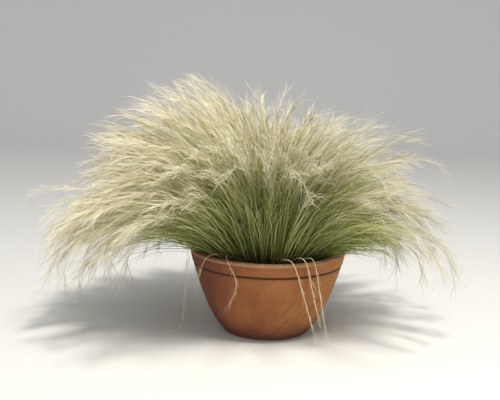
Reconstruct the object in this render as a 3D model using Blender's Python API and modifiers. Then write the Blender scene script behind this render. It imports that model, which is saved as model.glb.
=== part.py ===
"""A clump of feather grass growing in a shallow terracotta bowl, built as separate pieces.

Metres, +Z up. The origin is the centre of the bowl's flat foot, on the surface it stands on.
-Y is the side the plant is usually seen from, -X and +X are its two long cascading sides.
Each tuft and plume is a tapered sheaf: one closed solid that stands for the fine blades or
seed heads that grow from the crown along the same arc.
"""

import math

import bpy

# Driving dimensions of the bowl.
BOWL_HEIGHT = 0.246
RIM_RADIUS = 0.230
LIP_THICKNESS = 0.024
LIP_ROUNDING = 0.006
BAND_HEIGHT = 0.0355
BAND_LOWER_RADIUS = 0.2235
BAND_ARRIS = 0.0015
GROOVE_WIDTH = 0.0060
GROOVE_DEPTH = 0.0055
GROOVE_RUNOUT = 0.0050
GROOVE_SLOPE = 0.0008
BODY_TOP_RADIUS = 0.2192
BODY_FOOT_RADIUS = 0.109
BODY_SWELL = 0.53
FOOT_ROUNDING = 0.010
FOOT_INSET = 0.0085
WALL = 0.015
FLOOR = 0.018
FLOOR_FILLET = 0.012
DRAIN_RADIUS = 0.008
DRAIN_COUNT = 3
DRAIN_RING = 0.055

# Driving dimensions of what fills it.
GAP = 0.0004
SOIL_TOP = 0.221
SOIL_SETTLE = 0.004
SOIL_LEVEL_RADIUS = 0.150
SOIL_SHOULDER_RADIUS = 0.178
SOIL_EDGE_CLEARANCE = 0.004
CROWN_RADIUS = 0.170
CROWN_EDGE_LEAN = 66.0
CROWN_CAP_LEAN = 64.0
CROWN_UNDERCUT = 0.004

# How finely the round pieces are divided.
TURNED_STEPS = 40
DRAIN_STEPS = 16
LIP_STEPS = 2
WALL_STEPS = 6
BOTTOM_CROWDING = 1.5
CROWN_STEPS = 5
SHEAF_RESOLUTION = 1
MERGE_DISTANCE = 0.00001

# Where the body meets the groove above it.
BODY_TOP = BOWL_HEIGHT - BAND_HEIGHT - GROOVE_WIDTH - GROOVE_RUNOUT

# Where the crown's sphere is centred, so that its cap stands on the soil.
CROWN_CENTRE_Z = SOIL_TOP + GAP - CROWN_RADIUS * math.cos(math.radians(CROWN_EDGE_LEAN))

# The three rings of growth. Leans are degrees from upright: at the crown, and at the plume's tip on
# the side, front and back of the plant. Lengths are metres, at the sides.
RINGS = {
    "inner": {
        "count": 4, "first_turn": 20.0, "lean": 13.0, "side": 50.0, "front": 40.0, "back": 46.0,
        "leaf": 0.300, "plume": 0.450,
    },
    "middle": {
        "count": 8, "first_turn": 11.0, "lean": 31.0, "side": 86.0, "front": 52.0, "back": 76.0,
        "leaf": 0.345, "plume": 0.470,
    },
    "outer": {
        "count": 12, "first_turn": 5.0, "lean": 54.0, "side": 156.0, "front": 62.0, "back": 116.0,
        "leaf": 0.330, "plume": 0.560,
    },
}
FRONT_UPRIGHT = 0.45
BACK_UPRIGHT = 0.15
LEFT_REACH = 0.11
RIGHT_REACH = -0.11
FRONT_REACH = -0.10
BACK_REACH = -0.10

# The two kinds of sheaf: (share of the length, radius) stops, the points along it, and its bend as a
# share of a flowering stem's. A plume is thin where its stems are bundled and swells at the heads.
LEAF_SHEAF = {
    "outline": [(0.0, 0.012), (0.25, 0.021), (0.55, 0.027), (0.85, 0.018), (1.0, 0.006)],
    "points": 7,
    "bend": 0.60,
}
PLUME_SHEAF = {
    "outline": [(0.0, 0.006), (0.42, 0.007), (0.60, 0.022), (0.80, 0.032), (0.93, 0.022), (1.0, 0.007)],
    "points": 11,
    "bend": 1.0,
}
BEND_POWER = 1.6
BEND_STEPS = 12

# Single stems that hang over the rim: (distance from the axis, turn in degrees, height).
STEM_RADIUS = 0.0020
STEM_POINTS = 13
TRAILING_ROUTES = {
    "right_1": [(0.205, 281.0, 0.257), (0.237, 286.0, 0.250), (0.242, 293.0, 0.165), (0.240, 303.5, 0.034)],
    "right_2": [(0.205, 292.0, 0.260), (0.237, 295.0, 0.252), (0.241, 300.5, 0.165), (0.236, 309.5, 0.052)],
    "right_3": [(0.205, 300.0, 0.257), (0.237, 301.5, 0.250), (0.247, 305.5, 0.155), (0.252, 311.5, 0.034)],
    "left_1": [(0.205, 228.0, 0.258), (0.237, 223.0, 0.249), (0.246, 218.0, 0.198), (0.244, 215.5, 0.142)],
    "left_2": [(0.205, 236.0, 0.259), (0.236, 241.0, 0.250), (0.241, 248.5, 0.194), (0.239, 245.0, 0.140)],
    "left_3": [(0.205, 204.0, 0.258), (0.237, 201.5, 0.249), (0.246, 198.5, 0.170), (0.249, 196.0, 0.062)],
    "side_1": [(0.205, 193.0, 0.258), (0.237, 193.0, 0.249), (0.246, 192.0, 0.155), (0.252, 190.0, 0.025),
               (0.270, 188.0, 0.0024), (0.307, 185.0, 0.0024)],
    "back_1": [(0.205, 77.0, 0.258), (0.237, 73.0, 0.249), (0.246, 68.0, 0.155), (0.252, 64.0, 0.025),
               (0.270, 62.0, 0.0024), (0.307, 60.0, 0.0024)],
}
TRAILING_LEAN = 63.0


def clear_scene():
    """Removes whatever the scene holds, such as the startup cube."""
    for obj in list(bpy.data.objects):
        bpy.data.objects.remove(obj)


def material(name, colour, roughness):
    """A plain finish: colour is linear red, green and blue."""
    made = bpy.data.materials.new(name)
    made.use_nodes = True
    shader = made.node_tree.nodes["Principled BSDF"]
    shader.inputs["Base Color"].default_value = (*colour, 1.0)
    shader.inputs["Roughness"].default_value = roughness
    shader.inputs["Metallic"].default_value = 0.0
    return made


def add_to(collection, name, data, finish):
    """One named object in the plant's collection, wearing one finish."""
    obj = bpy.data.objects.new(name, data)
    data.materials.append(finish)
    collection.objects.link(obj)
    return obj


def arc(centre, radius, first, last, steps):
    """Points of a circle's arc in the profile's plane, angles in degrees from +X."""
    turns = [math.radians(first + (last - first) * i / steps) for i in range(steps + 1)]
    return [(centre[0] + radius * math.cos(t), centre[1] + radius * math.sin(t)) for t in turns]


def body_radius(height):
    """The bowl's outer radius below its band."""
    return BODY_FOOT_RADIUS + (BODY_TOP_RADIUS - BODY_FOOT_RADIUS) * (height / BODY_TOP) ** BODY_SWELL


def inner_wall(steps):
    """(radius, height) points up the bowl's inner wall, from its floor to just under the lip."""
    low = FLOOR + FLOOR_FILLET
    heights = [low + (BODY_TOP - low) * (i / steps) ** BOTTOM_CROWDING for i in range(steps + 1)]
    corner = [(body_radius(FLOOR) - WALL - FLOOR_FILLET, FLOOR)]
    return corner + [(body_radius(z) - WALL, z) for z in heights]


def turned(collection, name, profile, finish):
    """A profile in the XZ plane turned about Z, from the axis back to the axis.

    It runs down the outer side, top to bottom.
    """
    edges = [(i, i + 1) for i in range(len(profile) - 1)]
    mesh = bpy.data.meshes.new(name)
    mesh.from_pydata([(r, 0.0, z) for r, z in profile], edges, [])
    obj = add_to(collection, name, mesh, finish)
    screw = obj.modifiers.new("turn", "SCREW")
    screw.steps = TURNED_STEPS
    screw.render_steps = TURNED_STEPS
    screw.use_merge_vertices = True
    screw.merge_threshold = MERGE_DISTANCE
    screw.use_smooth_shade = True
    return obj


def drain_cutter(collection, index):
    """One upright cutter for a drain hole in the foot."""
    turn = math.radians(90.0 + 360.0 / DRAIN_COUNT * index)
    bpy.ops.mesh.primitive_cylinder_add(
        vertices=DRAIN_STEPS,
        radius=DRAIN_RADIUS,
        depth=3 * FLOOR,
        location=(DRAIN_RING * math.cos(turn), DRAIN_RING * math.sin(turn), FLOOR / 2),
    )
    cutter = bpy.context.object
    cutter.name = f"drain_cutter_{index + 1}"
    for holder in list(cutter.users_collection):
        holder.objects.unlink(cutter)
    collection.objects.link(cutter)
    cutter.hide_render = True
    cutter.display_type = "WIRE"
    return cutter


def build_bowl(collection, cutters, finish):
    """The fired clay bowl: rolled lip, plain band, groove, curved body, flat foot and drain holes."""
    lip_inner = RIM_RADIUS - LIP_THICKNESS
    lip_z = BOWL_HEIGHT - LIP_ROUNDING
    inner_lip = arc((lip_inner + LIP_ROUNDING, lip_z), LIP_ROUNDING, 180, 90, LIP_STEPS)
    outer_lip = arc((RIM_RADIUS - LIP_ROUNDING, lip_z), LIP_ROUNDING, 90, 0, LIP_STEPS)
    band_z = BOWL_HEIGHT - BAND_HEIGHT
    groove = [
        (BAND_LOWER_RADIUS, band_z + BAND_ARRIS),
        (BAND_LOWER_RADIUS - BAND_ARRIS, band_z),
        (BAND_LOWER_RADIUS - GROOVE_DEPTH, band_z - GROOVE_SLOPE),
        (BAND_LOWER_RADIUS - GROOVE_DEPTH, band_z - GROOVE_WIDTH),
    ]
    drop = BODY_TOP - FOOT_ROUNDING
    heights = [FOOT_ROUNDING + drop * (1 - i / WALL_STEPS) ** BOTTOM_CROWDING for i in range(WALL_STEPS + 1)]
    body = [(body_radius(z), z) for z in heights]
    foot_edge = body_radius(FOOT_ROUNDING)
    foot = [(foot_edge - FOOT_INSET / 3, FOOT_ROUNDING / 3), (foot_edge - FOOT_INSET, 0.0), (0.0, 0.0)]
    inside = [(0.0, FLOOR), *inner_wall(WALL_STEPS)]
    profile = inside + inner_lip + outer_lip + groove + body + foot
    bowl = turned(collection, "terracotta_bowl", profile, finish)
    for index in range(DRAIN_COUNT):
        drain = bowl.modifiers.new(f"drain_{index + 1}", "BOOLEAN")
        drain.operation = "DIFFERENCE"
        drain.solver = "EXACT"
        drain.object = drain_cutter(cutters, index)


def build_soil(collection, finish):
    """The root ball and potting soil: it fills the bowl and sinks a little towards the wall."""
    wall = [(r - GAP * 1.5, z + GAP) for r, z in inner_wall(WALL_STEPS)]
    edge = (RIM_RADIUS - LIP_THICKNESS - SOIL_EDGE_CLEARANCE, SOIL_TOP - SOIL_SETTLE)
    shoulder = (SOIL_SHOULDER_RADIUS, SOIL_TOP - SOIL_SETTLE / 3)
    top = [(0.0, SOIL_TOP), (SOIL_LEVEL_RADIUS, SOIL_TOP), shoulder, edge]
    profile = top + wall[::-1] + [(0.0, FLOOR + GAP)]
    turned(collection, "potting_soil", profile, finish)


def build_crown(collection, finish):
    """The mat of shoot bases: a cap of a sphere standing on the soil."""
    cap = arc((0.0, CROWN_CENTRE_Z), CROWN_RADIUS - GAP, 90, 90 - CROWN_CAP_LEAN, CROWN_STEPS)
    base_radius = cap[-1][0] - CROWN_UNDERCUT
    profile = cap + [(base_radius, SOIL_TOP + GAP), (0.0, SOIL_TOP + GAP)]
    turned(collection, "crown", profile, finish)


def along(outline, share):
    """The radius at this share of the length, straight between the outline's points."""
    for (s0, r0), (s1, r1) in zip(outline, outline[1:]):
        if share <= s1:
            return r0 + (r1 - r0) * (share - s0) / (s1 - s0)
    return outline[-1][1]


def tube(collection, name, points, radii, finish):
    """A closed tube of changing radius along a line of points."""
    curve = bpy.data.curves.new(name, "CURVE")
    curve.dimensions = "3D"
    curve.bevel_depth = 1.0
    curve.bevel_resolution = SHEAF_RESOLUTION
    curve.use_fill_caps = True
    spline = curve.splines.new("POLY")
    spline.points.add(len(points) - 1)
    for point, place, radius in zip(spline.points, points, radii):
        point.co = (*place, 1.0)
        point.radius = radius
    spline.use_smooth = True
    return add_to(collection, name, curve, finish)


def towards(turn, side):
    """1 on the side at this turn, falling to 0 a quarter turn away from it."""
    return max(0.0, math.cos(math.radians(turn - side))) ** 2


def habit(ring, turn):
    """Lean at the crown, lean at the tip and a share of the length, for growth towards one side.

    The front stands up most. The two sides reach furthest and hang lowest, the left most of all.
    """
    facts = RINGS[ring]
    right, back, left, front = (towards(turn, side) for side in (0.0, 90.0, 180.0, 270.0))
    lean = facts["lean"] * (1.0 - FRONT_UPRIGHT * front - BACK_UPRIGHT * back)
    tip = facts["side"] * (left + right) + facts["front"] * front + facts["back"] * back
    reach = 1.0 + LEFT_REACH * left + RIGHT_REACH * right + FRONT_REACH * front + BACK_REACH * back
    return lean, tip, reach


def growth_line(turn, place, lean, tip_lean, length, base_radius, count):
    """Points up a sheaf that leaves the crown at one place and bends over by its own weight.

    It starts just far enough off the crown that its base is clear where it doesn't leave it square.
    """
    out = math.radians(turn)
    clear = base_radius * math.sin(math.radians(place - lean))
    distance = (CROWN_RADIUS + clear) * math.sin(math.radians(place))
    height = CROWN_CENTRE_Z + (CROWN_RADIUS + clear) * math.cos(math.radians(place))
    steps = (count - 1) * BEND_STEPS
    points = [(distance, height)]
    for i in range(steps):
        bent = math.radians(lean + (tip_lean - lean) * ((i + 0.5) / steps) ** BEND_POWER)
        distance += math.sin(bent) * length / steps
        height += math.cos(bent) * length / steps
        points.append((distance, height))
    return [(d * math.cos(out), d * math.sin(out), z) for d, z in points[::BEND_STEPS]]


def build_sheaf(collection, kind, ring, index, turn, facts, length, finish):
    """One tapered sheaf of growth."""
    outline = facts["outline"]
    count = facts["points"]
    lean, tip, reach = habit(ring, turn)
    tip = lean + facts["bend"] * (tip - lean)
    line = growth_line(turn, RINGS[ring]["lean"], lean, tip, length * reach, outline[0][1], count)
    radii = [along(outline, k / (count - 1)) for k in range(count)]
    tube(collection, f"{kind}_{ring}_{index + 1:02d}", line, radii, finish)


def build_ring(collection, ring, leaf_finish, plume_finish):
    """Leaf tufts and plumes that take turns round one ring of the crown."""
    facts = RINGS[ring]
    pitch = 360.0 / facts["count"]
    for i in range(facts["count"]):
        turn = facts["first_turn"] + pitch * i
        build_sheaf(collection, "leaf_tuft", ring, i, turn, LEAF_SHEAF, facts["leaf"], leaf_finish)
        build_sheaf(collection, "plume", ring, i, turn + pitch / 2, PLUME_SHEAF, facts["plume"], plume_finish)


def smooth_route(route, count):
    """Evenly numbered points on a smooth curve through the route's own points."""
    ends = [route[0], *route, route[-1]]
    points = []
    for k in range(count):
        at = k / (count - 1) * (len(route) - 1)
        i = min(int(at), len(route) - 2)
        t = at - i
        a, b, c, d = ends[i], ends[i + 1], ends[i + 2], ends[i + 3]
        points.append(tuple(
            0.5 * (2 * q + (r - p) * t + (2 * p - 5 * q + 4 * r - s) * t**2 + (3 * q - p - 3 * r + s) * t**3)
            for p, q, r, s in zip(a, b, c, d)
        ))
    return points


def build_trailing(collection, finish):
    """The single stems that hang over the rim, some of them down to the surface."""
    start_lean = math.radians(TRAILING_LEAN)
    distance = (CROWN_RADIUS + STEM_RADIUS) * math.sin(start_lean)
    height = CROWN_CENTRE_Z + (CROWN_RADIUS + STEM_RADIUS) * math.cos(start_lean)
    for name, route in TRAILING_ROUTES.items():
        start = (distance, route[0][1], height)
        points = [
            (d * math.cos(math.radians(turn)), d * math.sin(math.radians(turn)), max(z, STEM_RADIUS + GAP))
            for d, turn, z in smooth_route([start, *route], STEM_POINTS)
        ]
        radii = [STEM_RADIUS] * len(points)
        tube(collection, f"trailing_stem_{name}", points, radii, finish)


def main():
    """Builds every piece into one collection."""
    clear_scene()
    collection = bpy.data.collections.new("potted_feather_grass")
    cutters = bpy.data.collections.new("cutters")
    bpy.context.scene.collection.children.link(collection)
    bpy.context.scene.collection.children.link(cutters)
    clay = material("terracotta", (0.36, 0.15, 0.07), 0.85)
    earth = material("soil", (0.035, 0.024, 0.016), 0.95)
    thatch = material("thatch", (0.20, 0.15, 0.07), 0.90)
    green = material("leaf_green", (0.13, 0.15, 0.045), 0.60)
    straw = material("plume_straw", (0.68, 0.58, 0.34), 0.75)
    stem = material("stem_straw", (0.62, 0.48, 0.22), 0.65)
    build_bowl(collection, cutters, clay)
    build_soil(collection, earth)
    build_crown(collection, thatch)
    for ring in RINGS:
        build_ring(collection, ring, green, straw)
    build_trailing(collection, stem)


main()
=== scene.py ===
"""The looks of a clump of feather grass in a terracotta bowl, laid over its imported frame.

Metres, +Z up, the same frame as the solids. Each sheaf of the frame is replaced by the fine leaves,
stems and bristles that it stands for, grown from the crown by the same law of growth.
"""

from __future__ import annotations

import logging
import math
from dataclasses import dataclass, field
from enum import Enum
from typing import Callable, Sequence

import bpy
import numpy as np
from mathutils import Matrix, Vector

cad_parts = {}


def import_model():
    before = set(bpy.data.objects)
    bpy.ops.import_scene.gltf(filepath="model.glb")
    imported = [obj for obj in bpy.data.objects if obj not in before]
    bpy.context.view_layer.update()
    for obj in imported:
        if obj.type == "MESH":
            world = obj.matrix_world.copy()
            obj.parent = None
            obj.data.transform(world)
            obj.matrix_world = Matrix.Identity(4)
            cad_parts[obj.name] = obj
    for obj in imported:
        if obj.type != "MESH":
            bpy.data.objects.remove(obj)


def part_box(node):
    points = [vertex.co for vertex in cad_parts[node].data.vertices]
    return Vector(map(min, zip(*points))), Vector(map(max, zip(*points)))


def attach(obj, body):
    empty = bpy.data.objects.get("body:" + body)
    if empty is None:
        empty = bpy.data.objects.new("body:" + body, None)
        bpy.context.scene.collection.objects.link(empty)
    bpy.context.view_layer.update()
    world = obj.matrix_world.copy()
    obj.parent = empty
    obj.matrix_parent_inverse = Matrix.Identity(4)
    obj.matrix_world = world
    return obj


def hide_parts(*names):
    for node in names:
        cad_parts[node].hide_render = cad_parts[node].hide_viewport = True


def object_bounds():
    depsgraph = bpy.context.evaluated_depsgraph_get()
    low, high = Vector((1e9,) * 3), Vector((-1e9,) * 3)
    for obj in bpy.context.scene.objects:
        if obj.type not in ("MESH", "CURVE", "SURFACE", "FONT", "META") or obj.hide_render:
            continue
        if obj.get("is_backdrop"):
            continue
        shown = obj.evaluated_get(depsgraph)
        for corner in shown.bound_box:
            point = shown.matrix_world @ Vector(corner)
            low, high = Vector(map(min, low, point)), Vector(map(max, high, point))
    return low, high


log = logging.getLogger("feather_grass")

BODY = "root"
STRAND_MAP = "strand"
BAKE_MAP = "OFBake"
TINY = 1e-9
FULL_TURN = 2 * math.pi
FRONT, RIGHT, BACK, LEFT = 270.0, 0.0, 90.0, 180.0

Colour = tuple[float, float, float]
Place = tuple[float, float, float]
Route = list[Place]
Outline = Sequence[tuple[float, float]]
Stops = Sequence[tuple[float, Colour]]
Socket = bpy.types.NodeSocket


def srgb(red: int, green: int, blue: int) -> Colour:
    """The linear colour of a display colour given as 0 to 255.

    Args:
        red: The display colour's red.
        green: Its green.
        blue: Its blue.

    Returns:
        Linear red, green and blue.
    """

    def linear(value: int) -> float:
        """One channel made linear."""
        share = value / 255.0
        return share / 12.92 if share <= 0.04045 else ((share + 0.055) / 1.055) ** 2.4

    return linear(red), linear(green), linear(blue)


def shades(*rows: tuple[float, int, int, int]) -> Stops:
    """Colour stops for a ramp, from rows of a place and a display colour's red, green and blue."""
    return tuple((place, srgb(*channels)) for place, *channels in rows)


class Ring(Enum):
    """The three rings of growth round the crown, by the leans that belong to each."""

    INNER = ("inner", 0.0, 22.0, 4, 20.0)
    MIDDLE = ("middle", 22.0, 43.0, 8, 11.0)
    OUTER = ("outer", 43.0, 90.0, 12, 5.0)

    def __init__(self, label: str, least: float, most: float, count: int, first_turn: float) -> None:
        """Keeps the ring's name, its leans in degrees, its number of sheaves and the first one's turn."""
        self.label = label
        self.least = least
        self.most = most
        self.count = count
        self.first_turn = first_turn

    @property
    def pitch(self) -> float:
        """The turn in degrees from one sheaf to the next."""
        return 360.0 / self.count


class Sheaf(Enum):
    """The two kinds of sheaf, which take turns round a ring, and the pieces that stand for them."""

    LEAF = ("leaf_tuft", 0.0, "blades", "leaf_green")
    PLUME = ("plume", 0.5, "feathers", "plume_straw")

    def __init__(self, label: str, shift: float, piece: str, slot: str) -> None:
        """Keeps the kind's name, its first turn's shift in pitches, its pieces' name and their slot."""
        self.label = label
        self.shift = shift
        self.piece = piece
        self.slot = slot

    def owner(self, ring: Ring, turn: np.ndarray) -> np.ndarray:
        """The index from 0 of the sheaf of a ring that growth at each turn belongs to.

        Args:
            ring: The ring of growth.
            turn: Turns about the axis, in degrees.

        Returns:
            One index for each turn.
        """
        first = ring.first_turn + self.shift * ring.pitch
        return np.round((turn - first) / ring.pitch).astype(int) % ring.count


# ---------------------------------------------------------------------------------------------
# Strands: the thin pointed bodies that leaves, stems and bristles are made of


@dataclass
class Strands:
    """Many thin strands of one kind, each pointed at both ends.

    Attributes:
        lines: (n, k, 3) points along each strand.
        radii: (n, k) radius at each point. The first and last aren't used.
        along: (n, k) place along the colour ramp at each point, 0 to 1.
        shade: (n,) which of the colour variants a strand has, 0 to 1.
    """

    lines: np.ndarray
    radii: np.ndarray
    along: np.ndarray
    shade: np.ndarray

    SIDES = 3
    MAP_WIDTH = 0.004

    def __len__(self) -> int:
        """How many strands there are."""
        return len(self.lines)

    def pick(self, mask: np.ndarray) -> Strands:
        """The strands that a mask or a list of indices names."""
        return Strands(self.lines[mask], self.radii[mask], self.along[mask], self.shade[mask])

    def frames(self) -> tuple[np.ndarray, np.ndarray]:
        """Two unit vectors square to each strand at each point.

        Returns:
            The side vectors and the across vectors, each (n, k, 3).
        """
        ahead = np.gradient(self.lines, axis=1)
        ahead /= np.linalg.norm(ahead, axis=2, keepdims=True) + TINY
        chord = self.lines[:, -1] - self.lines[:, 0]
        flat = np.cross(chord, (0.0, 0.0, 1.0))
        flat = np.where(np.linalg.norm(flat, axis=1, keepdims=True) < 1e-6, (1.0, 0.0, 0.0), flat)
        side = flat[:, None, :] - (flat[:, None, :] * ahead).sum(2, keepdims=True) * ahead
        side /= np.linalg.norm(side, axis=2, keepdims=True) + TINY
        return side, np.cross(ahead, side)

    def arrays(self) -> tuple[np.ndarray, np.ndarray, np.ndarray]:
        """The strands as one mesh.

        Returns:
            Vertices (v, 3), triangles (t, 3) and a map place for each vertex (v, 2).
        """
        count, points, _ = self.lines.shape
        rings = points - 2
        side, across = self.frames()
        turns = FULL_TURN * np.arange(self.SIDES) / self.SIDES
        reach = (
            np.cos(turns)[None, None, :, None] * side[:, 1:-1, None, :]
            + np.sin(turns)[None, None, :, None] * across[:, 1:-1, None, :]
        )
        ring = self.lines[:, 1:-1, None, :] + reach * self.radii[:, 1:-1, None, None]
        body = ring.reshape(count, rings * self.SIDES, 3)
        vertices = np.concatenate([self.lines[:, :1], body, self.lines[:, -1:]], axis=1)
        ring_along = np.repeat(self.along[:, 1:-1], self.SIDES, axis=1)
        along = np.concatenate([self.along[:, :1], ring_along, self.along[:, -1:]], axis=1)
        spread = (np.arange(self.SIDES) - (self.SIDES - 1) / 2) * self.MAP_WIDTH
        offset = np.concatenate([[0.0], np.tile(spread, rings), [0.0]])
        shade = self.shade[:, None] + offset[None, :]
        triangles = self.pattern(rings)[None] + (np.arange(count) * vertices.shape[1])[:, None, None]
        return vertices.reshape(-1, 3), triangles.reshape(-1, 3), np.stack([along, shade], 2).reshape(-1, 2)

    def pattern(self, rings: int) -> np.ndarray:
        """The triangles of one strand, facing out.

        Args:
            rings: How many rings of points it has between its two ends.

        Returns:
            (t, 3) vertex numbers within the strand.
        """
        last = 1 + rings * self.SIDES
        faces = []
        for j in range(self.SIDES):
            after = (j + 1) % self.SIDES
            faces.append((0, 1 + after, 1 + j))
            for k in range(rings - 1):
                low = 1 + k * self.SIDES
                high = low + self.SIDES
                faces.append((low + j, low + after, high + after))
                faces.append((low + j, high + after, high + j))
            top = last - self.SIDES
            faces.append((last, top + j, top + after))
        return np.array(faces)


@dataclass
class Patch:
    """A plain mesh that joins the strands in one piece, with its own places on the strand map."""

    vertices: np.ndarray
    triangles: np.ndarray
    places: np.ndarray

    def arrays(self) -> tuple[np.ndarray, np.ndarray, np.ndarray]:
        """Vertices, triangles and map places, as Strands gives them."""
        return self.vertices, self.triangles, self.places


def new_piece(name: str, parts: Sequence[Strands | Patch], finish: bpy.types.Material) -> bpy.types.Object:
    """One mesh object made of strands and patches.

    Args:
        name: The object's name.
        parts: What it is made of.
        finish: Its material.

    Returns:
        The new object, linked to the scene.
    """
    vertices, triangles, places = [], [], []
    start = 0
    for part in parts:
        part_vertices, part_triangles, part_places = part.arrays()
        vertices.append(part_vertices)
        triangles.append(part_triangles + start)
        places.append(part_places)
        start += len(part_vertices)
    all_vertices = np.concatenate(vertices).astype(np.float32)
    corners = np.concatenate(triangles).astype(np.int32).ravel()
    corner_places = np.concatenate(places).astype(np.float32)[corners]
    mesh = bpy.data.meshes.new(name)
    mesh.vertices.add(len(all_vertices))
    mesh.vertices.foreach_set("co", all_vertices.ravel())
    mesh.loops.add(len(corners))
    mesh.loops.foreach_set("vertex_index", corners)
    mesh.polygons.add(len(corners) // 3)
    mesh.polygons.foreach_set("loop_start", np.arange(0, len(corners), 3, dtype=np.int32))
    mesh.polygons.foreach_set("use_smooth", np.ones(len(corners) // 3, dtype=bool))
    mesh.update(calc_edges=True)
    for map_name in (STRAND_MAP, BAKE_MAP):
        layer = mesh.uv_layers.new(name=map_name)
        layer.uv.foreach_set("vector", corner_places.ravel())
    mesh.validate()
    mesh.materials.append(finish)
    piece = bpy.data.objects.new(name, mesh)
    bpy.context.scene.collection.objects.link(piece)
    return piece


def settle(piece: bpy.types.Object, node: str, slot: str) -> None:
    """Lets a piece stand for a node of the frame and reports it.

    Args:
        piece: The finished piece.
        node: The node it replaces.
        slot: The record's material slot for the piece; not used.
    """
    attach(piece, BODY)
    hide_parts(node)
    log.info("%s: %d faces, stands for %s", piece.name, len(piece.data.polygons), node)


def build_sheaves(
    kind: Sheaf,
    turn: np.ndarray,
    place: np.ndarray,
    parts: Callable[[np.ndarray], Sequence[Strands]],
    finish: bpy.types.Material,
) -> None:
    """Builds one piece for each sheaf of one kind in the frame.

    Args:
        kind: The kind of sheaf.
        turn: The turns of all its shoots.
        place: Their places on the crown.
        parts: What gives the strands that belong to a mask of those shoots.
        finish: The pieces' material.
    """
    for ring in Ring:
        in_ring = (place >= ring.least) & (place < ring.most)
        owner = kind.owner(ring, turn)
        for index in range(ring.count):
            ending = f"{ring.label}_{index + 1:02d}"
            piece = new_piece(f"{kind.piece}_{ending}", parts(in_ring & (owner == index)), finish)
            settle(piece, f"{kind.label}_{ending}", kind.slot)


def solid_piece(
    name: str, vertices: np.ndarray, triangles: np.ndarray, finish: bpy.types.Material, crease: float
) -> bpy.types.Object:
    """One smooth mesh object with sharp creases.

    Args:
        name: Its name.
        vertices: Its points.
        triangles: Its triangles.
        finish: Its material.
        crease: The angle in degrees past which an edge stays sharp.

    Returns:
        The new object, linked to the scene.
    """
    mesh = bpy.data.meshes.new(name)
    mesh.from_pydata(vertices.tolist(), [], triangles.tolist())
    mesh.shade_smooth()
    mesh.set_sharp_from_angle(angle=math.radians(crease))
    mesh.materials.append(finish)
    piece = bpy.data.objects.new(name, mesh)
    bpy.context.scene.collection.objects.link(piece)
    return piece


# ---------------------------------------------------------------------------------------------
# Finishes


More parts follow.
